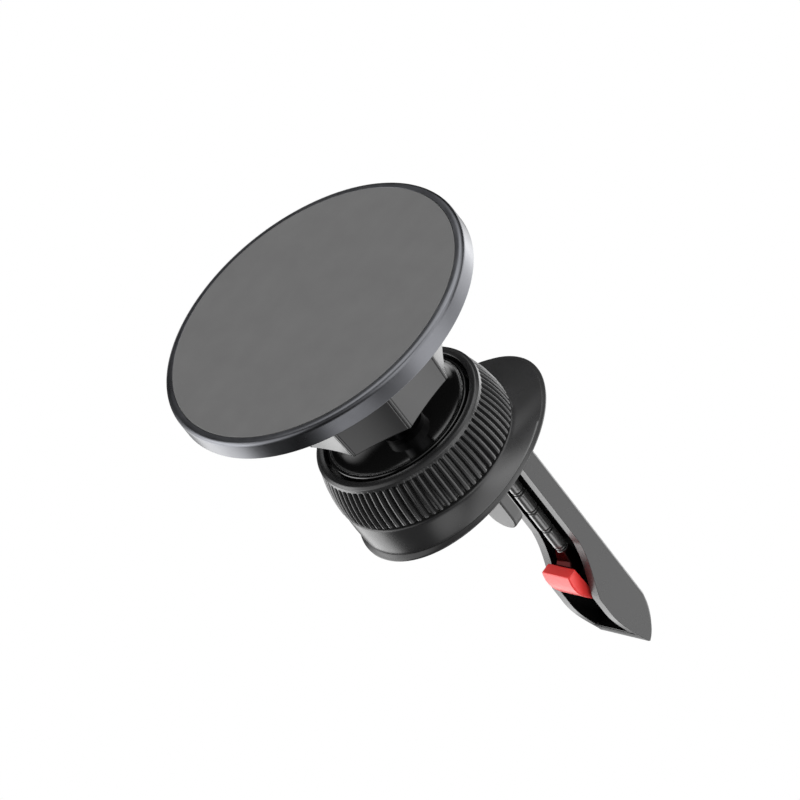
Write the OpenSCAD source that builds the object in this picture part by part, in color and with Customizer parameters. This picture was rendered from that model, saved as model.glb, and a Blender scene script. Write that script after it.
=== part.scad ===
// Magnetic phone mount that hooks onto the blade of a car's air vent.
// The origin is the centre of the phone face. +Y runs back into the vent along the nut's axis,
// +Z is up, and the phone face looks along -Y. All sizes are in millimetres.

/* [Magnetic disc] */
// Outer diameter of the disc
disc_d = 58; // [57:0.5:60]
// Depth of the disc from its face to its back
disc_t = 3.8; // [3.7:0.1:3.9]
// Width of the bevel round the disc's front edge
bevel_w = 1; // [0.6:0.1:1.2]
// Thickness of the soft front pad
pad_t = 0.8; // [0.6:0.1:1]
// Number of magnets in the ring
magnet_count = 16; // [12:2:18]
// Mean radius of the magnet ring
magnet_r = 23; // [22:0.5:24]

/* [Ball joint] */
// Diameter of the ball
ball_d = 13; // [12.8:0.1:13]
// Distance of the ball's centre from the phone face
ball_y = 13; // [12.9:0.1:13.1]
// Diameter of the ball's stem
stem_d = 4.4; // [4:0.1:4.5]
// Width of the octagonal collar across its corners, at its back
collar_d = 29.1; // [28.6:0.1:29.6]
// Draft of the collar's faces in degrees
collar_draft = 4; // [2:0.5:5]
// Back end of the collar
collar_end = 21.2; // [21:0.1:21.4]

/* [Nut] */
// Front face of the nut
nut_y = 27.5; // [27.3:0.1:27.7]
// Length of the nut
nut_len = 9.2; // [9:0.1:9.3]
// Diameter over the ribs
nut_d = 34.8; // [34.6:0.1:35]
// Number of ribs round the nut
rib_count = 88; // [60:4:96]
// Height of a rib
rib_h = 0.6; // [0.4:0.1:0.6]

/* [Body] */
// Half width of the oval body
body_w = 17; // [16.8:0.1:17.4]
// Half height of the oval body
body_h = 21.8; // [21.6:0.1:22.4]
// Height of the oval's centre above the nut's axis
body_z = 3.7; // [3.5:0.1:4]
// Lean of the body's back plane in degrees
body_tilt = 3.6; // [3:0.2:4]
// Back face of the body on the nut's axis
body_end = 43.4; // [43.3:0.1:43.6]

/* [Beak and hook] */
// Outer width of the beak
beak_w = 12.3; // [12:0.1:13]
// Thickness of the beak's side walls
beak_wall = 1.9; // [1.5:0.1:1.9]
// Tip of the beak
beak_tip = 98; // [97:0.5:100]
// Height of the rod above the nut's axis
rod_z = 9.5; // [9.3:0.1:9.6]
// Diameter of the rod's beads
rod_d = 2.6; // [2.4:0.1:2.8]
// Length of one bead
bead_pitch = 4.9; // [4:0.1:5.5]
// Face of the hook that grips the vent blade
hook_y = 76.6; // [75:0.2:77]
// Width of the hook's soft tip
hook_w = 7; // [6:0.2:8]

/* [Hidden] */
$fa = 4;
$fs = 0.35;

// Overcut, and the clearances of a close fit, a running fit and a free gap
eps = 0.01;
slip = 0.05;
running = 0.1;
gap = 0.3;

// Magnetic disc, front to back
disc_r = disc_d / 2;
face_r = disc_r - bevel_w;
recess_r = face_r - 0.5;
rim_front = 0.1;
disc_back_t = 1;
shim_t = 0.4;
floor_y = disc_t - disc_back_t;
shim_y = floor_y - shim_t;
magnet_w = 5.6;
magnet_gap_angle = 1.5;
hub_r = 12;
plate_screw_r = 0.8;
plate_screw_head_r = 1.8;
plate_screw_ring = 7.6;

// Ball joint: nested spheres round the ball's centre
ball_r = ball_d / 2;
cup_t = 1.05;
cup_in_r = ball_r + slip;
cup_out_r = cup_in_r + cup_t;
seat_r = cup_out_r + slip;
cup_mouth_r = 4.9;
cup_vent_r = 3;
cup_slot = 0.8;
boss_r = 10.3;
boss_end = ball_y - 0.4;
collar_front = disc_t + gap;
collar_bore_end = ball_y - 0.1;
collar_mouth_y = 18;
collar_mouth_r = 5.6;
collar_mouth_end_r = 7.9;

// Nut, its sleeve and the dish inside it
nut_end = nut_y + nut_len;
nut_r = nut_d / 2;
band_r = nut_r - rib_h;
rib_root_r = 14.7;
ring_in_r = 14.3;
lip_r = 13.6;
sleeve_r = 13.3;
thread_r = 12.2;
sleeve_y = nut_y + 2.8;
sleeve_end = 40.6;
dish_floor = 30.6;
dish_back = 31.4;
dish_step = 30;
stud_r = 2;
stud_end = 39.5;
stud_flange_r = 3.9;
washer_t = 0.4;
washer_r = 16;

// Body
cover_t = 1.4;
cover_edge_t = 0.4;
cover_bevel = 0.8;
side_bevel = 0.1;
housing_y = nut_end + washer_t;
housing_front_r = 17.2;
cover_screw_spots = [[7.8, 13.5], [-7.8, 13.5], [0, -15.6]];
cover_screw_r = 0.8;
cover_screw_head_r = 1.6;
cover_screw_head_t = 0.8;

// Drive: the carriage runs on the flats of the spindle
spindle_r = 5;
spindle_flat = 4.4;
carriage_y = 36.7;
carriage_t = 2;
rod_r = rod_d / 2;
rod_start = carriage_y + 0.8;
rod_screw_r = 0.6;
rod_screw_head_r = 1.8;

// Beak, hook and feet
roof_z = 13.8;
roof_t = 1.2;
edge_z = 9.7;
beak_block_y = 48;
beak_block_z = 11.3;
beak_screw_x = 2.6;
beak_screw_z = 12.6;
beak_screw_r = 0.7;
beak_screw_head_r = 1.2;
core_w = 3.8;
core_t = 2.2;
foot_x = 12.7;
foot_w = 6.4;
foot_end = 51.5;
foot_bottom = -2.4;
foot_top = -0.1;
foot_round = 3.1;
post_r = 0.7;
post_z = (foot_bottom + foot_top) / 2;

// Revolves a profile of [radius, y] points round the Y axis
module turned(profile) rotate([-90, 0, 0]) rotate_extrude() polygon(profile);

// A round bar along Y
module bar(r, y0, y1) translate([0, y0, 0]) rotate([-90, 0, 0]) cylinder(r = r, h = y1 - y0);

// A tube along Y
module tube(r_in, r_out, y0, y1) difference() {
    bar(r_out, y0, y1);
    bar(r_in, y0 - 1, y1 + 1);
}

// A slab along Y whose outline is drawn in X and Z
module slab(y0, y1) translate([0, y1, 0]) rotate([90, 0, 0]) linear_extrude(y1 - y0) children();

// A slab across X, centred, whose outline is drawn in Y and Z
module side_slab(w) rotate([90, 0, 90]) translate([0, 0, -w / 2]) linear_extrude(w) children();

// Repeats its children round the Y axis
module ring_of(n, start = 0) for (i = [0:n - 1]) rotate([0, start + i * 360 / n, 0]) children();

// Puts its children in the frame of the body's leaning back plane
module on_back() translate([0, body_end, 0]) rotate([body_tilt, 0, 0]) children();

// Points along a cubic curve from a to d
function curve(a, b, c, d, n = 10) = [for (i = [0:n])
    let (t = i / n, s = 1 - t) s * s * s * a + 3 * s * s * t * b + 3 * s * t * t * c + t * t * t * d];

module front_pad() color([0.42, 0.42, 0.42]) turned([
    [0, 0], [recess_r - 0.15, 0], [recess_r - slip, rim_front], [recess_r - slip, pad_t], [0, pad_t]
]);

module rim_ring() color([0.25, 0.26, 0.28]) difference() {
    turned([
        [0, floor_y], [recess_r, floor_y], [recess_r, rim_front], [face_r, rim_front], [disc_r, 0.6],
        [disc_r, disc_t - 0.25], [disc_r - 0.25, disc_t], [0, disc_t]
    ]);
    ring_of(4, 45) translate([plate_screw_ring, 0, 0])
        bar(plate_screw_r + gap, floor_y - 1, disc_t + 1);
}

module magnet_carrier() color([0.15, 0.15, 0.15]) {
    tube(hub_r, magnet_r - magnet_w / 2 - slip, pad_t, shim_y);
    tube(magnet_r + magnet_w / 2 + slip, recess_r - slip, pad_t, shim_y);
}

module magnets() color([0.6, 0.6, 0.62]) ring_of(magnet_count) rotate([-90, 0, 0])
    translate([0, 0, pad_t]) rotate_extrude(angle = 360 / magnet_count - magnet_gap_angle)
        translate([magnet_r - magnet_w / 2, 0]) square([magnet_w, shim_y - pad_t]);

module steel_shim() color([0.55, 0.55, 0.56]) tube(hub_r, recess_r - slip, shim_y, floor_y);

module socket_base() color([0.12, 0.12, 0.13]) difference() {
    bar(boss_r, disc_t, boss_end);
    translate([0, ball_y, 0]) sphere(r = seat_r);
    ring_of(4, 45) translate([plate_screw_ring, 0, 0])
        bar(plate_screw_r + slip, disc_t - 1, disc_t + 3);
}

module plate_screws() color([0.6, 0.6, 0.6]) ring_of(4, 45) translate([plate_screw_ring, 0, 0]) {
    bar(plate_screw_head_r, floor_y - 1.2, floor_y);
    bar(plate_screw_r, floor_y - eps, disc_t + 2.8);
}

// Octagonal collar whose faces lean outwards towards the disc
module lock_collar() color([0.2, 0.2, 0.2]) difference() {
    bar(collar_d / 2 + 2, collar_front, collar_end);
    ring_of(8) translate([collar_d / 2 * cos(22.5), collar_end, 0]) rotate([0, 0, collar_draft])
        translate([0, -30, -15]) cube([10, 60, 30]);
    bar(boss_r + running, collar_front - 1, collar_bore_end);
    translate([0, ball_y, 0]) sphere(r = seat_r);
    turned([
        [0, collar_mouth_y], [collar_mouth_r, collar_mouth_y],
        [collar_mouth_end_r, collar_end + gap], [0, collar_end + gap]
    ]);
}

// Slotted nylon liner that snaps over the ball
module ball_cup() color([0.85, 0.85, 0.82]) difference() {
    translate([0, ball_y, 0]) rotate([-90, 0, 0]) rotate_extrude() difference() {
        circle(r = cup_out_r);
        circle(r = cup_in_r);
        translate([-20, -20]) square([20, 40]);
        square([cup_mouth_r, 20]);
        translate([0, -20]) square([cup_vent_r, 20]);
    }
    ring_of(4, 45) translate([0, ball_y, -cup_slot / 2]) cube([cup_out_r + 1, cup_out_r, cup_slot]);
}

module ball_stud() color([0.3, 0.3, 0.3]) {
    translate([0, ball_y, 0]) sphere(r = ball_r);
    bar(stem_d / 2, ball_y, dish_floor - 1);
    bar(stud_flange_r, dish_floor - 1.2, dish_floor);
    bar(stud_r, dish_floor - 0.1, stud_end);
}

// Dish with a thin lip, screwed down by the ball stud
module dish_cap() color([0.04, 0.04, 0.04]) difference() {
    turned(concat(
        [[0, dish_floor], [stud_flange_r + 0.4, dish_floor]],
        curve([6.2, 30.3], [9.5, 29.8], [11.9, 29.2], [lip_r - 0.75, nut_y + 0.25]),
        [
            [lip_r - 0.6, nut_y], [lip_r - 0.15, nut_y], [lip_r, nut_y + 0.15], [lip_r, dish_step],
            [thread_r - gap, dish_step], [thread_r - gap, dish_back], [0, dish_back]
        ]
    ));
    bar(stud_r + slip, 20, 40);
}

// Outline of the spindle's two flats, grown all round
module keyed_disc(grow = 0) intersection() {
    circle(r = spindle_r + grow);
    square([2 * (spindle_flat + grow), 4 * spindle_r], center = true);
}

module spindle() color([0.5, 0.5, 0.5]) difference() {
    slab(dish_back, body_end - cover_t + 1) keyed_disc();
    on_back() translate([-10, -cover_t, -10]) cube(20);
    bar(stud_r + slip, 20, 42);
}

// Barrel-shaped side of the nut behind its front lip, as [radius, y] points, with its back end
function barrel(r) = [
    for (p = [[1.5, 1.2], [0.9, 2.4], [0.3, 4.6], [0, 7.5], [0, nut_len]]) [r - p[0], nut_y + p[1]]
];

// Outline of a wheel with a narrow tooth for each rib
function rib_outline() = [
    for (i = [0:rib_count - 1], p = [[0.05, rib_root_r], [0.2, nut_r], [0.65, nut_r], [0.8, rib_root_r]])
        let (a = (i + p[0]) * 360 / rib_count) [p[1] * cos(a), p[1] * sin(a)]
];

module knurled_ring() color([0.22, 0.22, 0.22]) difference() {
    union() {
        turned(concat(
            [[0, nut_y], [nut_r - 2.2, nut_y], [nut_r - 1.7, nut_y + 0.5], [nut_r - 1.6, nut_y + 1]],
            barrel(band_r), [[0, nut_end]]
        ));
        intersection() {
            turned(concat([[0, nut_y + 1.2]], barrel(nut_r), [[0, nut_end]]));
            slab(nut_y, nut_end - 0.05) polygon(rib_outline());
        }
    }
    bar(ring_in_r, nut_y - 1, sleeve_y);
    bar(sleeve_r, sleeve_y - 1, nut_end + 1);
}

module threaded_sleeve() color([0.7, 0.6, 0.3]) tube(thread_r, sleeve_r - slip, sleeve_y, sleeve_end);

module thrust_washer() color([0.8, 0.8, 0.75])
    tube(sleeve_r + gap, washer_r, nut_end, housing_y);

// Oval outline of the body, slightly fuller below, inset at its sides and at its ends
module oval(side = 0, end = 0) polygon([for (i = [0:71]) let (a = i * 5) [
    (body_w - side) * sin(a) * (1 - 0.04 * cos(a)), body_z + (body_h - end) * cos(a)
]]);

module base_housing() color([0.22, 0.22, 0.22]) difference() {
    hull() {
        slab(housing_y, housing_y + 0.3) circle(r = housing_front_r, $fn = 72);
        on_back() slab(-cover_t - 0.3, -cover_t) oval(side_bevel, cover_bevel);
    }
    bar(sleeve_r + running, housing_y - 1, body_end + 2);
    on_back() for (p = cover_screw_spots) translate([p[0], 0, p[1]])
        bar(cover_screw_r + slip, -cover_t - 2.9, 0);
}

module back_cover() color([0.3, 0.3, 0.3]) difference() {
    on_back() hull() {
        slab(-cover_t, -cover_t + 0.1) oval(side_bevel, cover_bevel);
        slab(-cover_edge_t, 0) oval();
    }
    translate([0, 0, rod_z]) bar(rod_r + gap, 30, 60);
    on_back() for (p = cover_screw_spots) translate([p[0], 0, p[1]]) {
        bar(cover_screw_r + gap, -cover_t - 1, 1);
        bar(cover_screw_head_r + running, -cover_screw_head_t, 1);
    }
    on_back() for (x = [-beak_screw_x, beak_screw_x]) translate([x, 0, beak_screw_z]) {
        bar(beak_screw_r + running, -cover_t - 1, 1);
        bar(beak_screw_head_r + running, -cover_t - 1, -cover_t + 0.7);
    }
}

module cover_screws() color([0.6, 0.6, 0.6]) on_back() for (p = cover_screw_spots)
    translate([p[0], 0, p[1]]) {
        bar(cover_screw_head_r, -cover_screw_head_t, 0);
        bar(cover_screw_r, -cover_t - 2.7, -cover_screw_head_t + eps);
    }

module drive_carriage() color([0.6, 0.6, 0.62]) difference() {
    bar(thread_r - slip, carriage_y, carriage_y + carriage_t);
    slab(carriage_y - 1, carriage_y + carriage_t + 1) keyed_disc(running);
    translate([0, 0, rod_z]) {
        bar(rod_r + slip, carriage_y - 1, carriage_y + carriage_t + 1);
        bar(rod_screw_head_r + slip, carriage_y - 1, rod_start);
    }
}

// Rod with a groove between its beads
module hook_rod() color([0.5, 0.5, 0.5]) translate([0, 0, rod_z]) difference() {
    bar(rod_r, rod_start, hook_y + 0.55);
    bar(rod_screw_r + slip, rod_start - 1, rod_start + 3.1);
    for (i = [0:5]) translate([0, hook_y - 2 - i * bead_pitch, 0])
        tube(rod_r - 0.4, rod_r + 1, -0.2, 0.2);
}

module rod_screw() color([0.5, 0.5, 0.5]) translate([0, 0, rod_z]) {
    bar(rod_screw_head_r, carriage_y, rod_start);
    bar(rod_screw_r, rod_start - eps, rod_start + 3);
}

// Steel leg that drops from the rod's end into the soft tip
module hook_core() color([0.5, 0.5, 0.5])
    translate([-core_w / 2, hook_y + 0.55, 5.4]) cube([core_w, core_t, rod_z + rod_r - 5.4]);

module hook_tip() color([0.9, 0.35, 0.35]) difference() {
    side_slab(hook_w) polygon(concat(
        [[hook_y + 6.6, 7.4], [hook_y, 7.1]],
        curve([hook_y, 5], [hook_y + 1.8, 4.4], [hook_y + 4.4, 4.2], [hook_y + 7.3, 6.4])
    ));
    translate([-core_w / 2 - slip, hook_y + 0.5, 5.35]) cube([core_w + 2 * slip, core_t + 0.1, 5]);
}

// Side outline of the beak
module beak_outline() polygon(concat(
    [[body_end - 3, roof_z], [beak_tip - 9, roof_z]],
    curve([beak_tip - 7.5, roof_z], [beak_tip - 4.5, roof_z - 0.5], [beak_tip - 1.6, 12], [beak_tip, 8.8]),
    curve([beak_tip - 1, 8.3], [beak_tip - 5, 7], [beak_tip - 8, 6], [beak_tip - 11, 6]),
    curve([beak_tip - 15, 6], [beak_tip - 19, 7.4], [beak_tip - 22, 9.2], [beak_tip - 26.5, edge_z]),
    [[body_end - 3, edge_z]]
));

// Hollow of the beak, open below
module beak_hollow() polygon(concat(
    [[body_end - 4, 0], [body_end - 4, roof_z - roof_t], [beak_tip - 9, roof_z - roof_t]],
    curve([beak_tip - 8, roof_z - roof_t], [beak_tip - 5, 12.6], [beak_tip - 3.6, 11], [beak_tip - 3.4, 8.6]),
    [[beak_tip - 3.4, 0]]
));

module beak_channel() color([0.4, 0.4, 0.4]) difference() {
    side_slab(beak_w) beak_outline();
    difference() {
        side_slab(beak_w - 2 * beak_wall) beak_hollow();
        translate([-beak_w / 2, 0, beak_block_z]) cube([beak_w, beak_block_y, 10]);
    }
    on_back() translate([-20, -20, -30]) cube([40, 20, 60]);
    on_back() for (x = [-beak_screw_x, beak_screw_x]) translate([x, 0, beak_screw_z])
        bar(beak_screw_r + slip, -1, 3.9);
}

module beak_screws() color([0.6, 0.6, 0.6]) on_back() for (x = [-beak_screw_x, beak_screw_x])
    translate([x, 0, beak_screw_z]) {
        bar(beak_screw_head_r, -cover_t, -cover_t + 0.7);
        bar(beak_screw_r, -cover_t + 0.7 - eps, 3.8);
    }

module bumper_posts() color([0.2, 0.2, 0.2]) for (x = [-foot_x, foot_x]) difference() {
    translate([x, 0, post_z]) bar(post_r, 40, 47);
    on_back() translate([-20, -20, -30]) cube([40, 20, 60]);
}

module bumper_caps() color([0.1, 0.1, 0.1]) for (x = [-foot_x, foot_x]) difference() {
    translate([x, 0, foot_bottom]) linear_extrude(foot_top - foot_bottom) hull() {
        translate([-foot_w / 2, 42]) square([foot_w, 2]);
        for (side = [-1, 1]) translate([side * (foot_w / 2 - foot_round), foot_end - foot_round])
            circle(foot_round, $fn = 32);
    }
    on_back() translate([-20, -20, -30]) cube([40, 20, 60]);
    translate([x, 0, post_z]) bar(post_r + slip, 40, 47.1);
}

front_pad();
rim_ring();
magnet_carrier();
magnets();
steel_shim();
socket_base();
plate_screws();
lock_collar();
ball_cup();
ball_stud();
dish_cap();
spindle();
knurled_ring();
threaded_sleeve();
thrust_washer();
base_housing();
back_cover();
cover_screws();
drive_carriage();
hook_rod();
rod_screw();
hook_core();
hook_tip();
beak_channel();
beak_screws();
bumper_posts();
bumper_caps();
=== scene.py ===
import math

import bmesh
import bpy
from mathutils import Matrix, Vector


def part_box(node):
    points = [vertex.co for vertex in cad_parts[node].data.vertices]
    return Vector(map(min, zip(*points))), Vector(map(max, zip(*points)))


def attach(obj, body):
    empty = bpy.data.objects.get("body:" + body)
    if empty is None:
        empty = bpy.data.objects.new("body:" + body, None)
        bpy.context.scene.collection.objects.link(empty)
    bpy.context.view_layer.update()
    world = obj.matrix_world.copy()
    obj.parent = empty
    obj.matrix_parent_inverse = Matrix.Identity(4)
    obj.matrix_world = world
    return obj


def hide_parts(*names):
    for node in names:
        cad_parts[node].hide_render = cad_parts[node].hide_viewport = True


# Detailed looks for the vent phone mount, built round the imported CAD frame.
# Shapes are worked out in millimetres in the CAD frame: the phone face is at Y = 0, +Y runs back into
# the vent along the nut's axis and +Z is up.

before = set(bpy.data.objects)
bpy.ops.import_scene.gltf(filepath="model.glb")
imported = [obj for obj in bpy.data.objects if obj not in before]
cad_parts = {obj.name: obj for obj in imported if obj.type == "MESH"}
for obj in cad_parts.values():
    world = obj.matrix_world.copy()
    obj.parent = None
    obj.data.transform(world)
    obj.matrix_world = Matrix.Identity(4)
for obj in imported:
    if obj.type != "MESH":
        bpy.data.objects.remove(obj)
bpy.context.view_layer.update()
MM = 0.001


def corners(node):
    """Lowest and highest corner of a CAD node in millimetres."""
    low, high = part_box(node)
    return low / MM, high / MM


# ---------------------------------------------------------------------------- sizes, from the CAD frame
PAD_HIGH = corners("front_pad")[1]
RIM_LOW, RIM_HIGH = corners("rim_ring")
COLLAR_LOW, COLLAR_HIGH = corners("lock_collar")
NUT_LOW, NUT_HIGH = corners("knurled_ring")
DISH_LOW, DISH_HIGH = corners("dish_cap")
HOUSING_LOW = corners("base_housing")[0]
COVER_HIGH = corners("back_cover")[1]
BEAK_LOW, BEAK_HIGH = corners("beak_channel")
ROD_LOW, ROD_HIGH = corners("hook_rod")
TIP_LOW, TIP_HIGH = corners("hook_tip")
CORE_LOW, CORE_HIGH = corners("hook_core")
CAPS_LOW, CAPS_HIGH = corners("bumper_caps")
SLEEVE_HIGH = corners("threaded_sleeve")[1]

# The body's back plane leans, and its outline is an oval whose lower end is the fuller one
BODY_TILT = math.radians(3.6)
BODY_END = 43.4
BODY_HALF_W = COVER_HIGH.x
BODY_HALF_H = 21.8
BODY_Z = 3.7
BODY_FULLNESS = 0.04
ON_BODY = 0.02
# The cover's depth at its seam and at its square edge, and how far it slopes in at its ends and sides
SEAM = 1.05
COVER_EDGE_T = 0.4
COVER_BEVEL = 0.8
SIDE_BEVEL = 0.1
COVER_SCREWS = [(7.8, 13.5), (-7.8, 13.5), (0, -15.6)]
COVER_SCREW_R = 1.6
ROD_Z = (ROD_LOW.z + ROD_HIGH.z) / 2
ROD_HOLE_R = 1.6
# How far the hook's steel leg reaches forward from its CAD shape to meet the beaded rod
NECK = 2.95
# The ball's centre, and the round seat for its cup inside the collar
BALL_Y = 13.0
SEAT_R = 7.65
# The ball stud's hole through the dish, and where the dish and the nut's bore step to a smaller radius
STUD_HOLE_R = 2.05
DISH_STEP_Y = 30.0
NUT_STEP_Y = 30.3


# ---------------------------------------------------------------------------- mesh helpers
def smooth_steps(t):
    """A smooth step from 0 to 1."""
    t = min(1.0, max(0.0, t))
    return t * t * (3 - 2 * t)


def fillet(points, radii, steps=5):
    """Rounds the corners of an open 2-D outline. radii gives each corner's radius, and 0 keeps it."""
    done = []
    last = len(points) - 1
    for i, point in enumerate(points):
        radius = radii[i] if i < len(radii) else 0
        if i in (0, last) or radius == 0:
            done.append(tuple(point))
            continue
        here = Vector(point)
        back, ahead = Vector(points[i - 1]) - here, Vector(points[i + 1]) - here
        half = back.angle(ahead) / 2
        reach = min(radius / math.tan(half), 0.49 * back.length, 0.49 * ahead.length)
        start, end = here + back.normalized() * reach, here + ahead.normalized() * reach
        for k in range(steps + 1):
            t = k / steps
            done.append(tuple(start * (1 - t) ** 2 + here * 2 * t * (1 - t) + end * t * t))
    return done


def bezier(a, b, c, d, steps=12):
    """Points along a cubic curve."""
    a, b, c, d = Vector(a), Vector(b), Vector(c), Vector(d)
    curve = []
    for i in range(steps + 1):
        t = i / steps
        s = 1 - t
        curve.append(tuple(a * s ** 3 + b * 3 * s * s * t + c * 3 * s * t * t + d * t ** 3))
    return curve


def skin(rings, loop=False):
    """Faces between rings of equal length. Each end is capped, or with loop the last joins the first."""
    count = len(rings[0])
    verts = [p for ring in rings for p in ring]
    faces = []
    pairs = len(rings) if loop else len(rings) - 1
    for i in range(pairs):
        a, b = i * count, ((i + 1) % len(rings)) * count
        for k in range(count):
            n = (k + 1) % count
            faces.append((a + k, a + n, b + n, b + k))
    if not loop:
        faces.append(tuple(reversed(range(count))))
        faces.append(tuple(range(len(verts) - count, len(verts))))
    return verts, faces


def turned(profile, steps=192, centre=(0, 0), loop=False):
    """Revolves [radius, y] points round a line along Y. A radius of 0 at either end closes to a pole."""
    profile = [tuple(p) for p in profile]
    poles = []
    if profile[0][0] == 0:
        poles.append((profile[0][1], 0))
        profile = profile[1:]
    if profile[-1][0] == 0:
        poles.append((profile[-1][1], len(profile) - 2))
        profile = profile[:-1]
    rings = []
    for radius, y in profile:
        ring = []
        for k in range(steps):
            a = 2 * math.pi * k / steps
            ring.append((centre[0] + radius * math.sin(a), y, centre[1] + radius * math.cos(a)))
        rings.append(ring)
    verts, faces = skin(rings, loop)
    if not loop:
        faces = faces[:-2]
        for y, row in poles:
            verts.append((centre[0], y, centre[1]))
            for k in range(steps):
                faces.append((row * steps + k, row * steps + (k + 1) % steps, len(verts) - 1))
    return verts, faces


def prism(outline, x0, x1):
    """Extrudes a [y, z] outline across X."""
    return skin([[(x, y, z) for y, z in outline] for x in (x0, x1)])


def joined(parts):
    """Several meshes as one."""
    verts, faces = [], []
    for part_verts, part_faces in parts:
        faces += [tuple(i + len(verts) for i in face) for face in part_faces]
        verts += part_verts
    return verts, faces


def mesh_object(name, mesh_data, merge=False):
    """An object made from millimetre vertices and faces, with its normals outwards."""
    verts, faces = mesh_data
    mesh = bpy.data.meshes.new(name)
    mesh.from_pydata([Vector(v) * MM for v in verts], [], faces)
    shape = bmesh.new()
    shape.from_mesh(mesh)
    if merge:
        bmesh.ops.remove_doubles(shape, verts=shape.verts, dist=1e-7)
    bmesh.ops.recalc_face_normals(shape, faces=shape.faces)
    shape.to_mesh(mesh)
    shape.free()
    made = bpy.data.objects.new(name, mesh)
    bpy.context.scene.collection.objects.link(made)
    return made


def add_piece(name, mesh_data, body, material, stands_for=(), sharp=32):
    """Makes a piece, shades it and fixes it to its CAD body."""
    piece = mesh_object(name, mesh_data, merge=True)
    piece.data.materials.append(material)
    shade(piece, sharp)
    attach(piece, body)
    if stands_for:
        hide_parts(*stands_for)
    return piece


def shade(piece, sharp=32):
    """Smooth shading, with edges over the angle kept sharp."""
    mesh = piece.data
    mesh.polygons.foreach_set("use_smooth", [True] * len(mesh.polygons))
    mesh.set_sharp_from_angle(angle=math.radians(sharp))


def weigh_normals(piece):
    """Keeps flats flat next to small rounded edges."""
    weighted = piece.modifiers.new("weighted_normals", "WEIGHTED_NORMAL")
    weighted.keep_sharp = True
    weighted.weight = 80


def round_edges(piece, width, segments=3, angle=30):
    """Rounds every edge over the angle by width millimetres."""
    bevel = piece.modifiers.new("round_edges", "BEVEL")
    bevel.width = width * MM
    bevel.segments = segments
    bevel.limit_method = "ANGLE"
    bevel.angle_limit = math.radians(angle)
    bevel.harden_normals = False


def cut(piece, mesh_data):
    """Cuts a shape out of a piece."""
    cutter = mesh_object("cutter", mesh_data)
    modifier = piece.modifiers.new("cut", "BOOLEAN")
    modifier.operation = "DIFFERENCE"
    modifier.solver = "EXACT"
    modifier.object = cutter
    bpy.context.view_layer.update()
    graph = bpy.context.evaluated_depsgraph_get()
    made = bpy.data.meshes.new_from_object(piece.evaluated_get(graph))
    piece.modifiers.remove(modifier)
    piece.data = made
    bpy.data.objects.remove(cutter)


def body_face_y(z):
    """Where the beak and the feet start: on the body's back plane, with a hair's breadth between."""
    return BODY_END - z * math.tan(BODY_TILT) + ON_BODY


def on_back(x, depth, z):
    """A point in the frame of the body's leaning back plane: depth is measured back from the plane."""
    c, s = math.cos(BODY_TILT), math.sin(BODY_TILT)
    return (x, BODY_END + depth * c - z * s, depth * s + z * c)


def moved_to_back(mesh_data, x, z):
    """Moves a mesh made round the Y axis to a spot on the leaning back plane."""
    verts, faces = mesh_data
    return [on_back(v[0] + x, v[1], v[2] + z) for v in verts], faces


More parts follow.
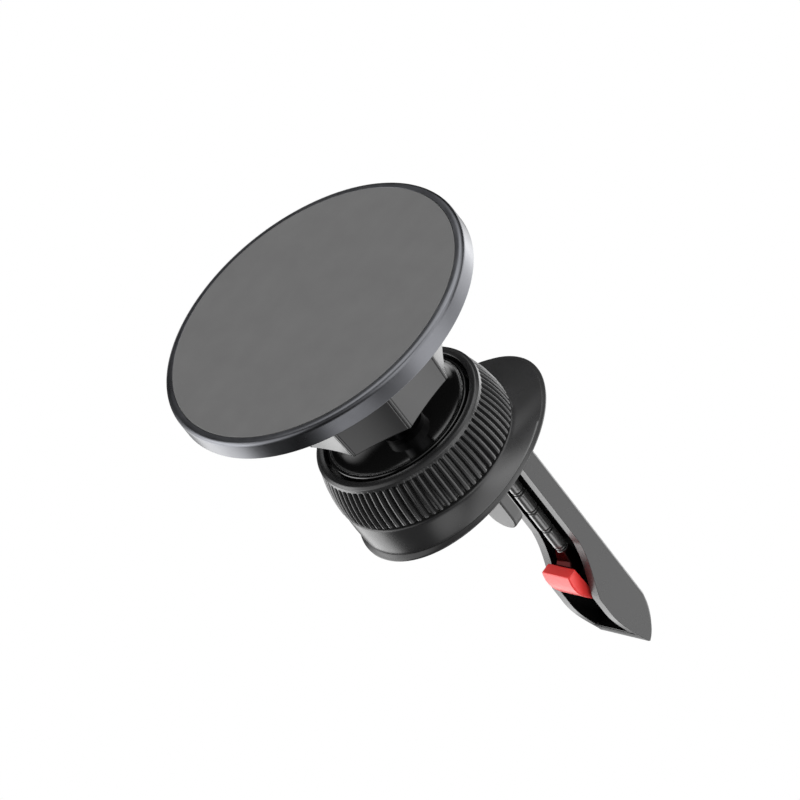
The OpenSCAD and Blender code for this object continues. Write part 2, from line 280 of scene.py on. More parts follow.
# ---------------------------------------------------------------------------- materials
class Nodes:
    """A small helper that builds one material's node tree."""

    def __init__(self, name):
        self.material = bpy.data.materials.new(name)
        self.material.use_nodes = True
        self.tree = self.material.node_tree
        self.shader = self.tree.nodes["Principled BSDF"]
        coordinates = self.add("ShaderNodeTexCoord")
        self.place = coordinates.outputs["Object"]

    def add(self, kind, **settings):
        node = self.tree.nodes.new(kind)
        for key, value in settings.items():
            setattr(node, key, value)
        return node

    def link(self, source, target):
        self.tree.links.new(source, target)

    def noise(self, scale, detail=2.0, roughness=0.5, stretch=None):
        """Noise in object space. scale is in cells per metre."""
        node = self.add("ShaderNodeTexNoise")
        node.inputs["Scale"].default_value = scale
        node.inputs["Detail"].default_value = detail
        node.inputs["Roughness"].default_value = roughness
        source = self.place
        if stretch:
            mapping = self.add("ShaderNodeMapping")
            mapping.inputs["Scale"].default_value = stretch
            self.link(source, mapping.inputs["Vector"])
            source = mapping.outputs["Vector"]
        self.link(source, node.inputs["Vector"])
        return node.outputs["Fac"]

    def ramp(self, source, low, high, at=(0.0, 1.0)):
        """Maps a value from the at range to low..high, clamped."""
        node = self.add("ShaderNodeMapRange")
        node.inputs["From Min"].default_value = at[0]
        node.inputs["From Max"].default_value = at[1]
        node.inputs["To Min"].default_value = low
        node.inputs["To Max"].default_value = high
        self.link(source, node.inputs["Value"])
        return node.outputs["Result"]

    def math(self, operation, a, b):
        node = self.add("ShaderNodeMath", operation=operation)
        for socket, value in zip(node.inputs, (a, b)):
            if isinstance(value, (int, float)):
                socket.default_value = value
            else:
                self.link(value, socket)
        return node.outputs["Value"]

    def mix(self, factor, a, b):
        """Mixes two colours, each a socket or an (r, g, b)."""
        node = self.add("ShaderNodeMix", data_type="RGBA")
        self.link(factor, node.inputs["Factor"])
        for socket, value in ((node.inputs["A"], a), (node.inputs["B"], b)):
            if isinstance(value, tuple):
                socket.default_value = (*value, 1)
            else:
                self.link(value, socket)
        return node.outputs["Result"]

    def edges(self, radius):
        """1 on edges sharper than the radius in millimetres, 0 on flats."""
        bevel = self.add("ShaderNodeBevel", samples=4)
        bevel.inputs["Radius"].default_value = radius * MM
        geometry = self.add("ShaderNodeNewGeometry")
        dot = self.add("ShaderNodeVectorMath", operation="DOT_PRODUCT")
        self.link(bevel.outputs["Normal"], dot.inputs[0])
        self.link(geometry.outputs["Normal"], dot.inputs[1])
        return self.ramp(dot.outputs["Value"], 1.0, 0.0, at=(0.80, 0.99))

    def bump(self, height, distance, strength=1.0):
        """Chains a bump onto the shader's normal. distance is in millimetres."""
        node = self.add("ShaderNodeBump")
        node.inputs["Strength"].default_value = strength
        node.inputs["Distance"].default_value = distance * MM
        self.link(height, node.inputs["Height"])
        normal = self.shader.inputs["Normal"]
        if normal.is_linked:
            self.link(normal.links[0].from_socket, node.inputs["Normal"])
        self.link(node.outputs["Normal"], normal)


def scaled(colour, factor):
    return tuple(min(1.0, c * factor) for c in colour)


def moulded(name, colour, rough, grain=0.004, grain_scale=9000, worn=1.35, coat=0.0, specular=0.5,
            metal=0.0, spread=0.05):
    """Moulded or finished surface: spark-eroded grain, handling sheen and slightly rubbed edges."""
    nodes = Nodes(name)
    shader = nodes.shader
    shader.inputs["Metallic"].default_value = metal
    shader.inputs["Specular IOR Level"].default_value = specular
    shader.inputs["Coat Weight"].default_value = coat
    shader.inputs["Coat Roughness"].default_value = 0.08
    cloudy = nodes.noise(180, 4.0, 0.6)
    speckle = nodes.noise(grain_scale, 2.0)
    mottle = nodes.math("ADD", nodes.math("MULTIPLY", cloudy, 0.7), nodes.math("MULTIPLY", speckle, 0.3))
    tone = nodes.ramp(mottle, 0.0, 1.0, at=(0.35, 0.65))
    body = nodes.mix(tone, scaled(colour, 0.94), scaled(colour, 1.06))
    patches = nodes.ramp(nodes.noise(700, 3.0), 0.3, 1.0, at=(0.35, 0.6))
    rubbed = nodes.math("MULTIPLY", nodes.edges(0.18), patches)
    nodes.link(nodes.mix(rubbed, body, scaled(colour, worn)), shader.inputs["Base Color"])
    handled = nodes.ramp(nodes.noise(90, 5.0, 0.65), rough - spread, rough + spread, at=(0.3, 0.7))
    polished = nodes.math("SUBTRACT", handled, nodes.math("MULTIPLY", rubbed, 0.06))
    nodes.link(polished, shader.inputs["Roughness"])
    if grain:
        nodes.bump(speckle, grain)
        nodes.bump(nodes.noise(1500, 3.0), grain * 1.2)
    return nodes.material


def turned_metal(name, colour, rough, stretch=(1, 60, 1), lines=0.0012, metal=1.0, worn=1.3, tint=(1, 1, 1)):
    """Metal with fine machining or drawing lines across the stretched axis."""
    nodes = Nodes(name)
    shader = nodes.shader
    shader.inputs["Metallic"].default_value = metal
    shader.inputs["Specular Tint"].default_value = (*tint, 1)
    fine = nodes.noise(900, 4.0, 0.7, stretch)
    cloudy = nodes.noise(120, 4.0, 0.6)
    tone = nodes.ramp(fine, 0.0, 1.0, at=(0.3, 0.7))
    body = nodes.mix(tone, scaled(colour, 0.9), scaled(colour, 1.1))
    patches = nodes.ramp(nodes.noise(800, 3.0), 0.4, 1.0, at=(0.35, 0.6))
    rubbed = nodes.math("MULTIPLY", nodes.edges(0.15), patches)
    nodes.link(nodes.mix(rubbed, body, scaled(colour, worn)), shader.inputs["Base Color"])
    nodes.link(nodes.ramp(cloudy, rough - 0.04, rough + 0.05, at=(0.3, 0.7)), shader.inputs["Roughness"])
    nodes.bump(fine, lines)
    return nodes.material


SOFT_PAD = moulded("soft_pad", (0.125, 0.125, 0.125), 0.60, grain=0.005, grain_scale=7000, worn=1.4,
                   specular=0.35)
RIM = turned_metal("anodised_rim", (0.145, 0.148, 0.160), 0.30, worn=1.3)
DARK = moulded("dark_plastic", (0.025, 0.025, 0.0255), 0.26, grain=0.0005, spread=0.03)
GLOSS = moulded("gloss_black", (0.004, 0.004, 0.004), 0.13, grain=0.0005, worn=1.8, coat=0.3, spread=0.03)
BEAK = moulded("beak_plastic", (0.030, 0.030, 0.0305), 0.27, grain=0.0009, spread=0.03)
INNER = moulded("inner_plastic", (0.03, 0.03, 0.03), 0.5)
NYLON = moulded("nylon", (0.62, 0.62, 0.58), 0.5, grain=0.003, worn=1.05)
STEEL = turned_metal("steel", (0.52, 0.52, 0.53), 0.3)
BLACK_STEEL = turned_metal("black_steel", (0.03, 0.03, 0.031), 0.28, worn=2.2)
# The hook's leg is a dark metal; its red cast, in the base colour and the specular tint, is a painted
# reflection of the red tip
LUG_PAINTED_REFLECTION = turned_metal("lug_painted_red_reflection", (0.030, 0.009, 0.009), 0.30, worn=1.4, tint=(0.09, 0.03, 0.03))
BRASS = turned_metal("brass", (0.62, 0.46, 0.2), 0.3)
ROD_METAL = turned_metal("rod_metal", (0.24, 0.24, 0.24), 0.26, stretch=(1, 30, 1), metal=0.7, worn=1.5)
RED = moulded("red_tip", (1.0, 0.05, 0.046), 0.34, grain=0.0015, worn=1.1, specular=0.5)
FOOT = moulded("foot_rubber", (0.06, 0.06, 0.06), 0.34, grain=0.002, specular=0.5)

# The CAD nodes that keep their own shape, each with its material and slot
CAD_FINISH = {
    "magnet_carrier": (INNER, "inner_plastic"), "magnets": (STEEL, "magnet"), "steel_shim": (STEEL, "steel"),
    "socket_base": (INNER, "inner_plastic"), "plate_screws": (STEEL, "steel"), "ball_cup": (NYLON, "nylon"),
    "ball_stud": (BLACK_STEEL, "black_steel"), "spindle": (STEEL, "steel"),
    "threaded_sleeve": (BRASS, "brass"), "thrust_washer": (NYLON, "nylon"),
    "drive_carriage": (STEEL, "steel"), "rod_screw": (STEEL, "steel"),
    "beak_screws": (STEEL, "steel"), "bumper_posts": (DARK, "dark_plastic"),
}
for node_name, (finish, slot_name) in CAD_FINISH.items():
    cad_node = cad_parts[node_name]
    cad_node.data.materials.clear()
    cad_node.data.materials.append(finish)


# ---------------------------------------------------------------------------- magnetic disc
def disc_pieces():
    """The soft pad, and the metal case with its rim round it."""
    pad_r, pad_back = PAD_HIGH.x, PAD_HIGH.y
    profile = fillet([(0, 0), (pad_r, 0), (pad_r, pad_back), (0, pad_back)], [0, 0.12, 0.05, 0])
    pad = add_piece("front_pad_skin", turned(profile, 256), "disc", SOFT_PAD, ["front_pad"])
    weigh_normals(pad)
    rim_r, front, back = RIM_HIGH.x, RIM_LOW.y, RIM_HIGH.y
    face_r, recess_r, floor_y = rim_r - 1.0, pad_r + 0.05, back - 1.0
    shoulder = bezier((face_r, front), (face_r + 0.62, front), (rim_r, front + 0.25), (rim_r, front + 0.9),
                      10)
    profile = [(0, floor_y), (recess_r, floor_y), (recess_r, front + 0.05), (recess_r + 0.05, front)]
    profile += shoulder
    profile += [(rim_r, back - 0.14), (rim_r - 0.04, back - 0.04), (rim_r - 0.14, back), (0, back)]
    rim = add_piece("rim_ring_skin", turned(profile, 256), "disc", RIM, ["rim_ring"])
    weigh_normals(rim)


# ---------------------------------------------------------------------------- octagonal collar
def side_point(u, r, a):
    """A point u along a side and r from the axis, on the side that faces the angle a."""
    return Vector((u * math.cos(a) + r * math.sin(a), -u * math.sin(a) + r * math.cos(a)))


def collar_outline(apothem):
    """Eight slightly hollow faces, with a ridge between two fine grooves at each corner."""
    half = apothem * math.tan(math.pi / 8)
    hollow, groove, groove_at, groove_w, ridge = 0.32, 0.12, half - 0.42, 0.13, 0.14
    face = []
    marks = [-half + ridge, -groove_at - groove_w, -groove_at, -groove_at + groove_w]
    marks += [-groove_at + groove_w + (groove_at - groove_w) * k / 6 for k in range(1, 7)]
    marks += [-m for m in reversed(marks[:-1])]
    for u in marks:
        depth = hollow * (1 - (u / half) ** 2)
        if abs(abs(u) - groove_at) < 1e-6:
            depth += groove
        face.append((u, apothem - depth))
    outline = []
    for side in range(8):
        a = side * math.pi / 4
        corner = []
        here = [side_point(u, r, a) for u, r in face]
        peak = side_point(half, apothem, a)
        after = side_point(*face[0], a + math.pi / 4)
        for k in range(1, 4):
            t = k / 4
            corner.append(here[-1] * (1 - t) ** 2 + peak * 2 * t * (1 - t) + after * t * t)
        outline += here + corner
    return outline


def collar_piece():
    """The octagonal collar, hollow for the boss in front and round the ball's cup behind."""
    front, end = COLLAR_LOW.y, COLLAR_HIGH.y
    draft = math.tan(math.radians(4))
    end_apothem = COLLAR_HIGH.x - (end - front) * draft
    # from the front: the bore's mouth, the bore up to the ball, the seat's lip and the mouth of the back
    mouth_r, bore_r, lip_r, back_mouth_r = 10.45, 10.4, 5.7, 7.9
    inner_apothem = 10

    def octagon(y, shrink=0.0):
        return [(p.x, y, p.y) for p in collar_outline(end_apothem + (end - y) * draft - shrink)]

    angles = [math.atan2(p.x, p.y) for p in collar_outline(inner_apothem)]

    def circle(radius, y):
        """Its points are at the angles of an octagon's points, so that the skin doesn't twist."""
        return [(radius * math.sin(a), y, radius * math.cos(a)) for a in angles]

    rings = [circle(mouth_r, front), octagon(front, 0.15), octagon(front + 0.05, 0.04)]
    rings += [octagon(front + 0.15)]
    rings += [octagon(front + 0.15 + (end - 0.45 - front) * k / 8) for k in range(1, 9)]
    rings += [octagon(end - 0.15, 0.03), octagon(end - 0.04, 0.12), octagon(end, 0.3)]
    rings += [circle(back_mouth_r + 0.2, end), circle(back_mouth_r, end - 0.1)]
    # the mouth's cone and the round seat meet in one edge
    start = math.asin(lip_r / SEAT_R)
    for k in range(7):
        a = start + (math.pi / 2 - start) * k / 6
        rings.append(circle(SEAT_R * math.sin(a), BALL_Y + SEAT_R * math.cos(a)))
    rings += [circle(bore_r, BALL_Y - 0.1), circle(bore_r, front + 0.1)]
    collar = add_piece("lock_collar_skin", skin(rings, loop=True), "collar", DARK,
                       ["lock_collar"], sharp=28)
    weigh_normals(collar)


# ---------------------------------------------------------------------------- dish and nut
def dish_piece():
    """The shallow dish in the middle of the nut, with a narrow lip round it."""
    radius, front, back = DISH_HIGH.x, DISH_LOW.y, DISH_HIGH.y
    floor_y, floor_r = 30.6, 4.3
    plug_r = SLEEVE_HIGH.x - 1.4
    inside = [(STUD_HOLE_R, back), (STUD_HOLE_R, floor_y), (floor_r, floor_y)]
    inside += bezier((6.2, 30.35), (9.6, 29.9), (12.0, 29.2), (radius - 0.62, front + 0.32), 20)
    rim = [(radius - 0.5, front), (radius - 0.12, front), (radius, front + 0.15)]
    outside = [(radius, DISH_STEP_Y), (plug_r, DISH_STEP_Y), (plug_r, back), (STUD_HOLE_R, back)]
    profile = fillet(inside + rim + outside, [0] * len(inside) + [0.08] * len(rim), 4)
    dish = add_piece("dish_cap_skin", turned(profile[:-1], 256, loop=True), "body", GLOSS,
                     ["dish_cap"], sharp=40)
    weigh_normals(dish)


def nut_piece():
    """Barrel with rounded ribs. The grooves between them start behind a plain lip."""
    front, back, full = NUT_LOW.y, NUT_HIGH.y, NUT_HIGH.x
    ribs, per_rib, depth = 76, 18, 0.8
    lip_r, rise = 14.3, 1.35
    bore = SLEEVE_HIGH.x + 0.05
    steps = ribs * per_rib

    def top(y):
        """The barrel's radius, which swells towards the back."""
        t = (y - front - 1.2) / (back - front - 1.2)
        return full - rise * (1 - t) ** 2.1 if t > 0 else full - rise + 0.5 * t

    def groove(k):
        """1 in the middle of a groove, 0 on the rib's crown."""
        t = abs((k % per_rib) / per_rib - 0.5) * 2
        return smooth_steps((0.58 - t) / 0.34)

    def crown(k):
        """The rib's own rounding."""
        t = abs((k % per_rib) / per_rib - 0.5) * 2
        return 0.12 * (1 - smooth_steps((t - 0.55) / 0.45))

    def ring(y, radius, share=0.0):
        made = []
        for k in range(steps):
            a = 2 * math.pi * k / steps
            r = radius - share * (depth * groove(k) + crown(k))
            made.append((r * math.sin(a), y, r * math.cos(a)))
        return made

    lip = [(lip_r, front), (full - 1.9, front), (full - 1.42, front + 0.45), (full - 1.36, front + 1.1)]
    lip = fillet(lip, [0, 0.5, 0.3, 0], 6)
    rings = [ring(y, r) for r, y in [(lip_r, front + 0.12), (lip_r + 0.12, front)] + lip[1:]]
    for k in range(1, 7):
        y = front + 1.1 + 0.45 * k / 6
        rings.append(ring(y, top(y), smooth_steps(k / 6) ** 0.7))
    for k in range(1, 15):
        y = front + 1.55 + (back - 0.35 - front - 1.55) * k / 14
        rings.append(ring(y, top(y), 1.0))
    rings.append(ring(back - 0.15, top(back) - 0.06, 0.97))
    rings.append(ring(back - 0.04, top(back) - 0.18, 0.85))
    rings.append(ring(back, top(back) - 0.36, 0.6))
    rings += [ring(back, bore), ring(NUT_STEP_Y, bore), ring(NUT_STEP_Y, lip_r)]
    nut = add_piece("knurled_ring_skin", skin(rings, loop=True), "nut", DARK,
                    ["knurled_ring"], sharp=50)
    weigh_normals(nut)


# ---------------------------------------------------------------------------- oval body
OVAL_STEPS = 240


def circle_ring(radius, y):
    """A round ring with as many points as the oval."""
    ring = []
    for k in range(OVAL_STEPS):
        b = 2 * math.pi * k / OVAL_STEPS
        ring.append((radius * math.sin(b), y, radius * math.cos(b)))
    return ring


def oval_ring(inset, depth, side_inset=None):
    """The body's outline on a plane parallel to its back, its points matched to a circle's by direction."""
    w = BODY_HALF_W - (inset if side_inset is None else side_inset)
    h = BODY_HALF_H - inset
    ring = []
    for k in range(OVAL_STEPS):
        b = 2 * math.pi * k / OVAL_STEPS
        a = math.atan2(w * math.sin(b), h * math.cos(b))
        x = w * math.sin(a) * (1 - BODY_FULLNESS * math.cos(a))
        ring.append(on_back(x, depth, BODY_Z + h * math.cos(a)))
    return ring


def between(low, high, t, bulge=0.0):
    """A ring part of the way from one to another, pushed outwards by a bulge."""
    ring = []
    for p, q in zip(low, high):
        v = Vector(p).lerp(Vector(q), t)
        out = Vector((v.x, 0, v.z)).normalized() * bulge * 4 * t * (1 - t)
        ring.append(tuple(v + out))
    return ring


def body_pieces():
    """The housing, which widens from a circle to the oval, and the cover that closes its back."""
    front = HOUSING_LOW.y
    front_r = 17.2
    bore = SLEEVE_HIGH.x + 0.15
    start = circle_ring(front_r, front + 0.4)
    end = oval_ring(COVER_BEVEL, -SEAM - 0.06, SIDE_BEVEL)
    rings = [circle_ring(bore, front), circle_ring(front_r - 0.55, front),
             circle_ring(front_r - 0.2, front + 0.06), circle_ring(front_r - 0.05, front + 0.2), start]
    rings += [between(start, end, k / 10, 0.12) for k in range(1, 10)]
    rings += [end, oval_ring(COVER_BEVEL + 0.02, -SEAM - 0.02, SIDE_BEVEL + 0.02),
              oval_ring(COVER_BEVEL + 0.08, -SEAM, SIDE_BEVEL + 0.08)]
    rings += [[on_back(x, -SEAM, z) for x, _, z in circle_ring(bore, 0)]]
    housing = add_piece("base_housing_skin", skin(rings, loop=True), "body", DARK,
                        ["base_housing"], sharp=40)
    weigh_normals(housing)

    rings = [oval_ring(COVER_BEVEL + 0.08, -SEAM + 0.01, SIDE_BEVEL + 0.08),
             oval_ring(COVER_BEVEL + 0.02, -SEAM + 0.03, SIDE_BEVEL + 0.02),
             oval_ring(COVER_BEVEL - 0.06, -SEAM + 0.08, SIDE_BEVEL)]
    rings += [oval_ring(0.08, -COVER_EDGE_T - 0.1, 0.01), oval_ring(0.0, -COVER_EDGE_T + 0.03),
              oval_ring(0.0, -0.22), oval_ring(0.07, -0.07), oval_ring(0.22, 0.0)]
    cover = add_piece("back_cover_skin", skin(rings), "body", BEAK, ["back_cover"], sharp=40)
    well_r, well_mouth_r = COVER_SCREW_R + 0.12, COVER_SCREW_R + 0.3
    for x, z in COVER_SCREWS:
        well = turned([(0, -0.85), (well_r, -0.85), (well_r, -0.12), (well_mouth_r, 0.06), (well_mouth_r, 1),
                       (0, 1)], 48)
        cut(cover, moved_to_back(well, x, z))
    hole = turned([(0, 38), (ROD_HOLE_R, 38), (ROD_HOLE_R, 46), (0, 46)], 48, centre=(0, ROD_Z))
    cut(cover, hole)
    shade(cover, 40)
    weigh_normals(cover)


def screw_piece():
    """Three pan-head screws with cross recesses, as one piece like the CAD node that they stand for."""
    head_back, shank_r, shank_end = -0.8, 0.8, -4.1
    profile = [(0, shank_end), (shank_r, shank_end), (shank_r, head_back), (COVER_SCREW_R, head_back),
               (COVER_SCREW_R, -0.05), (0, 0)]
    profile = fillet(profile, [0, 0.1, 0, 0.05, 0.25, 0], 4)
    mesh_data = joined([moved_to_back(turned(profile, 40), x, z) for x, z in COVER_SCREWS])
    screws = add_piece("cover_screws_skin", mesh_data, "body", STEEL, ["cover_screws"], sharp=35)
    slot_w, slot_l, deep = 0.42, 1.9, 0.55
    for x, z in COVER_SCREWS:
        for width, length in ((slot_w, slot_l), (slot_l, slot_w)):
            ring_front = [(-width / 4, -deep, -length / 4), (width / 4, -deep, -length / 4),
                          (width / 4, -deep, length / 4), (-width / 4, -deep, length / 4)]
            ring_back = [(p[0] * 2, 0.2, p[2] * 2) for p in ring_front]
            cut(screws, moved_to_back(skin([ring_front, ring_back]), x, z))
    shade(screws, 35)


# ---------------------------------------------------------------------------- beak, rod and hook
def beak_piece():
    """A channel open below: two side walls with a wavy lower edge, joined by the roof and the nose."""
    tip, roof, low, edge = BEAK_HIGH.y, BEAK_HIGH.z, BEAK_LOW.z, 9.7
    half, wall, roof_t, roof_round = BEAK_HIGH.x, 1.9, 1.2, 0.9
    start_y = BODY_END + ON_BODY
    # the root, up to root_end, has a lower ceiling, and the last nose_t before the tip is solid
    root_end, root_ceiling, nose_t = 48, 11.3, 3.4

    nose = bezier((tip - 7.5, roof), (tip - 4.5, roof - 0.5), (tip - 1.6, 12.0), (tip, 8.8), 14)
    under = bezier((tip - 1.0, 8.3), (tip - 5, 7), (tip - 8, low), (tip - 11, low), 14)
    under += bezier((tip - 15, low), (tip - 19, 7.4), (tip - 22, 9.2), (tip - 26.5, edge), 16)
    inner_nose = bezier((tip - 8, roof - roof_t), (tip - 5, 12.6), (tip - 3.6, 11), (tip - nose_t, 8.6), 14)
    top = [(body_face_y(roof), roof)] + nose
    below = [(tip - 0.35, 8.45)] + under + [(body_face_y(edge), edge)]

    def outline(inset):
        """The side view, with the roof and the nose moved inwards. The shift fades out towards the tip."""
        points = []
        for i, point in enumerate(top):
            along = Vector(top[min(i + 1, len(top) - 1)]) - Vector(top[max(i - 1, 0)])
            inwards = Vector((along.y, -along.x)).normalized()
            fade = smooth_steps((len(top) - 1 - i) / 8)
            points.append(tuple(Vector(point) + inwards * inset * fade))
        return points + below

    sections = []
    for side in (-1, 1):
        steps = range(5) if side == 1 else reversed(range(5))
        for k in steps:
            a = math.pi / 2 * k / 4
            x = side * (half - roof_round + roof_round * math.sin(a))
            sections.append([(x, y, z) for y, z in outline(roof_round * (1 - math.cos(a)))])
    body = add_piece("beak_channel_skin", skin(sections), "body", BEAK, ["beak_channel"],
                     sharp=35)
    hollow = [(start_y - 4, 0), (start_y - 4, root_ceiling), (root_end, root_ceiling)]
    hollow += [(root_end, roof - roof_t)] + inner_nose + [(tip - nose_t, 0)]
    cut(body, prism(hollow, -(half - wall), half - wall))
    # the inside faces take the near-black gloss material, as painted shade for the channel's shadowed inside
    body.data.materials.append(GLOSS)
    for face in body.data.polygons:
        x, y, _ = face.center / MM
        side_wall = abs(abs(x) - (half - wall)) < 0.01
        ceiling = abs(x) < half - wall and y < tip - 3.2 and min(face.normal.y, face.normal.z) < -0.2
        face.material_index = 1 if side_wall or (ceiling and y > start_y + 0.5) else 0
    round_edges(body, 0.22, 3, 32)
    shade(body, 35)
    weigh_normals(body)


def rod_piece():
    """Beaded rod: between two beads there is a slim ring in a groove."""
    radius, pitch, beads = 1.17, 5.0, 7
    ring_r, before_r, after_r = radius - 0.1, radius - 0.5, radius - 0.55
    start, end = ROD_LOW.y, CORE_LOW.y - NECK
    profile = [(0, start), (radius, start)]
    for k in reversed(range(beads)):
        y = end - 0.42 - pitch * k
        groove = [(radius, y - 1.2), (radius, y - 0.46), (before_r, y - 0.44), (before_r, y - 0.22),
                  (ring_r, y - 0.2), (ring_r, y + 0.08), (after_r, y + 0.1), (after_r, y + 0.36),
                  (radius, y + 0.38), (radius, y + 1)]
        profile += fillet(groove, [0, 0.18, 0.02, 0.02, 0.08, 0.08, 0.02, 0.02, 0.18, 0], 4)
    profile = [p for p in profile if p[1] < end + 0.1]
    profile += [(radius - 0.3, end + 0.12), (0, end + 0.12)]
    rod = add_piece("hook_rod_skin", turned(profile, 64, centre=(0, ROD_Z)), "hook", ROD_METAL,
                    ["hook_rod"], sharp=40)
    weigh_normals(rod)


def core_piece():
    """Flat steel leg that runs on from the rod and bends down into the soft tip."""
    front, back, half = CORE_LOW.y, CORE_HIGH.y, CORE_HIGH.x
    neck, narrow = front - NECK, 0.62
    top = ROD_Z + 1.0
    outline = [(neck, top), (neck, ROD_Z - 0.9), (front - 0.8, 8.0), (front, 7.15), (front, CORE_LOW.z),
               (back, CORE_LOW.z), (back, top + 0.3), (front, top + 0.3)]
    verts, faces = prism(outline, -half, half)

    def share(y):
        """The part of its full width that the leg has at y."""
        return narrow + (1 - narrow) * smooth_steps((y - neck) / (front - neck))

    verts = [(x * share(y), y, z) for x, y, z in verts]
    # the leg's material carries a painted reflection of the red tip in its red cast
    core = add_piece("hook_core_skin", (verts, faces), "hook", LUG_PAINTED_REFLECTION, ["hook_core"],
                     sharp=30)
    round_edges(core, 0.12, 2, 25)
    weigh_normals(core)


def hook_piece():
    """Soft tip: a flat front face, a curved underside and a sloping top."""
    y = TIP_LOW.y
    outline = [(y + 6.6, 7.4), (y, 7.1)] + bezier((y, 5), (y + 1.8, 4.4), (y + 4.4, 4.2), (y + 7.3, 6.4), 10)
    tip = add_piece("hook_tip_skin", prism(outline, TIP_LOW.x, TIP_HIGH.x), "hook", RED,
                    ["hook_tip"], sharp=35)
    pocket_half, pocket_front, pocket_back, pocket_low, above = 1.95, y + 0.5, y + 2.85, 5.35, 10
    pocket = [(pocket_front, pocket_low), (pocket_back, pocket_low), (pocket_back, above),
              (pocket_front, above)]
    cut(tip, prism(pocket, -pocket_half, pocket_half))
    round_edges(tip, 0.22, 3, 28)
    shade(tip, 35)
    weigh_normals(tip)


def cap_piece():
    """Two rubber feet with rounded ends, as one piece."""
    low, high = CAPS_LOW, CAPS_HIGH
    width, rounding, root, arc_steps = 6.4, 3.1, BODY_END - 1.2, 12
    peg_hole_r, peg_hole_end = 0.75, 47.1
    arc = [math.pi / 2 * k / arc_steps for k in range(arc_steps + 1)]
    feet = []
    for x0 in (high.x - width, -high.x):
        right, left = x0 + width - rounding, x0 + rounding
        plan = [(x0, root), (x0 + width, root)]
        plan += [(right + rounding * math.cos(a), high.y - rounding * (1 - math.sin(a))) for a in arc]
        plan += [(left - rounding * math.sin(a), high.y - rounding * (1 - math.cos(a))) for a in arc]
        feet.append(skin([[(x, max(y, body_face_y(z)), z) for x, y in plan] for z in (low.z, high.z)]))
    caps = add_piece("bumper_caps_skin", joined(feet), "body", FOOT, ["bumper_caps"],
                     sharp=35)
    mid = (low.z + high.z) / 2
    for x in (high.x - width / 2, -high.x + width / 2):
        hole = turned([(0, 40), (peg_hole_r, 40), (peg_hole_r, peg_hole_end), (0, peg_hole_end)], 32,
                      centre=(x, mid))
        cut(caps, hole)
    round_edges(caps, 0.3, 3, 30)
    shade(caps, 35)
    weigh_normals(caps)


disc_pieces()
collar_piece()
dish_piece()
nut_piece()
body_pieces()
screw_piece()
beak_piece()
rod_piece()
core_piece()
hook_piece()
cap_piece()


# ---------------------------------------------------------------------------- studio
def plain(name, colour, rough):
    """A plain, slightly uneven studio surface."""
    nodes = Nodes(name)
    cloudy = nodes.noise(6, 3.0)
    nodes.link(nodes.mix(cloudy, scaled(colour, 0.985), colour), nodes.shader.inputs["Base Color"])
    nodes.shader.inputs["Roughness"].default_value = rough
    return nodes.material


def floor():
    """A pale floor that the object doesn't mirror, and that neither lights it nor blocks its light."""
    half, height = 6.0, -0.62
    mesh = bpy.data.meshes.new("studio_floor")
    corner_signs = ((-1, -1), (1, -1), (1, 1), (-1, 1))
    mesh.from_pydata([(half * x, half * y, height) for x, y in corner_signs], [], [(0, 1, 2, 3)])
    ground = bpy.data.objects.new("studio_floor", mesh)
    bpy.context.scene.collection.objects.link(ground)
    mesh.materials.append(plain("floor_paint", (0.93, 0.93, 0.93), 0.85))
    ground.visible_diffuse = ground.visible_glossy = ground.visible_shadow = False


# Each soft light of the studio: its direction, its brightness, and the angles in degrees from its middle
# at which it starts to fade and is gone
SOFT_LIGHTS = [
    ((-0.70, -0.02, -0.70), 2.8, 16, 34),
    ((-0.35, -0.45, -0.82), 1.3, 16, 36),
    ((-0.74, 0.56, -0.38), 2.6, 12, 26),
    ((-0.93, 0.00, 0.36), 0.8, 4, 15),
    ((-0.46, -0.61, 0.64), 0.8, 4, 15),
    ((-0.75, -0.51, -0.40), 3.0, 8, 20),
    ((0.75, 0.556, 0.358), 1.3, 10, 26),
    ((0.48, 0.66, -0.57), 1.6, 6, 22),
    ((-0.10, -0.88, 0.42), 1.8, 22, 40),
    ((0.42, -0.54, 0.73), 1.2, 18, 34),
    ((0.93, -0.10, 0.20), 1.6, 24, 42),
    ((0.42, 0.89, 0.19), 1.5, 18, 34),
    ((0.05, 0.59, 0.81), 2.2, 14, 30),
    ((-0.36, 0.56, 0.75), 1.8, 6, 20),
    ((0.74, -0.62, -0.27), 0.5, 14, 38),
]
AMBIENT = 0.02


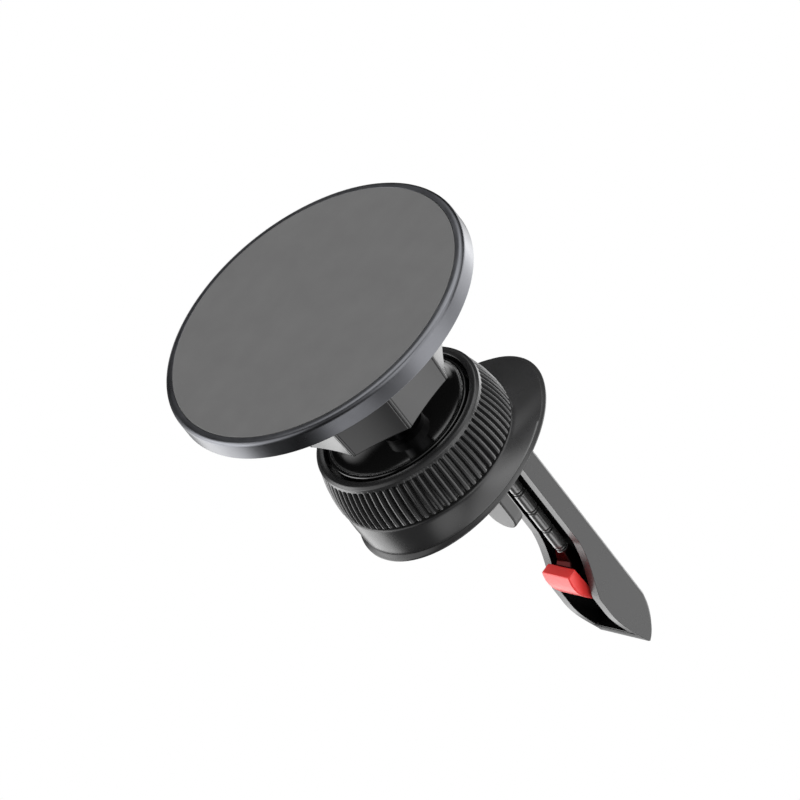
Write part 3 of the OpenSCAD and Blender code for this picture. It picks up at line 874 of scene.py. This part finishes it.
def studio():
    """Soft lights round the object, and a plain white background that only the camera sees."""
    world = bpy.data.worlds.new("studio")
    world.use_nodes = True
    tree = world.node_tree
    background = tree.nodes["Background"]
    background.inputs["Color"].default_value = (1, 1, 1, 1)
    coordinates = tree.nodes.new("ShaderNodeTexCoord")
    total = None
    for direction, brightness, full, gone in SOFT_LIGHTS:
        towards = tree.nodes.new("ShaderNodeVectorMath")
        towards.operation = "DOT_PRODUCT"
        towards.inputs[1].default_value = Vector(direction).normalized()
        tree.links.new(coordinates.outputs["Generated"], towards.inputs[0])
        fade = tree.nodes.new("ShaderNodeMapRange")
        fade.interpolation_type = "SMOOTHSTEP"
        fade.inputs["From Min"].default_value = math.cos(math.radians(gone))
        fade.inputs["From Max"].default_value = math.cos(math.radians(full))
        fade.inputs["To Max"].default_value = brightness
        tree.links.new(towards.outputs["Value"], fade.inputs["Value"])
        join = tree.nodes.new("ShaderNodeMath")
        join.operation = "ADD"
        join.inputs[1].default_value = AMBIENT
        if total:
            tree.links.new(total, join.inputs[1])
        tree.links.new(fade.outputs["Result"], join.inputs[0])
        total = join.outputs["Value"]
    seen = tree.nodes.new("ShaderNodeLightPath").outputs["Is Camera Ray"]
    choose = tree.nodes.new("ShaderNodeMix")
    choose.inputs["B"].default_value = 1.0
    tree.links.new(seen, choose.inputs["Factor"])
    tree.links.new(total, choose.inputs["A"])
    tree.links.new(choose.outputs["Result"], background.inputs["Strength"])
    bpy.context.scene.world = world
    bpy.context.scene.view_settings.view_transform = "Standard"


def camera():
    """The main view: from the front, the right and below, rolled, with a long lens."""
    data = bpy.data.cameras.new("photo_camera")
    data.lens, data.sensor_width = 270, 36
    data.clip_start, data.clip_end = 0.05, 50
    view = bpy.data.objects.new("photo_camera", data)
    bpy.context.scene.collection.objects.link(view)
    place = Vector((0.74994, -0.55604, -0.35835))
    aim = Vector((0.01140, 0.01729, -0.00297))
    right_hint = Vector((0.64950, 0.51619, 0.55829))
    back = (place - aim).normalized()
    right = (right_hint - back * right_hint.dot(back)).normalized()
    up = back.cross(right)
    turn = Matrix((right, up, back)).transposed()
    view.location = place
    view.rotation_mode = "QUATERNION"
    view.rotation_quaternion = turn.to_quaternion()
    bpy.context.scene.camera = view


floor()
studio()
camera()
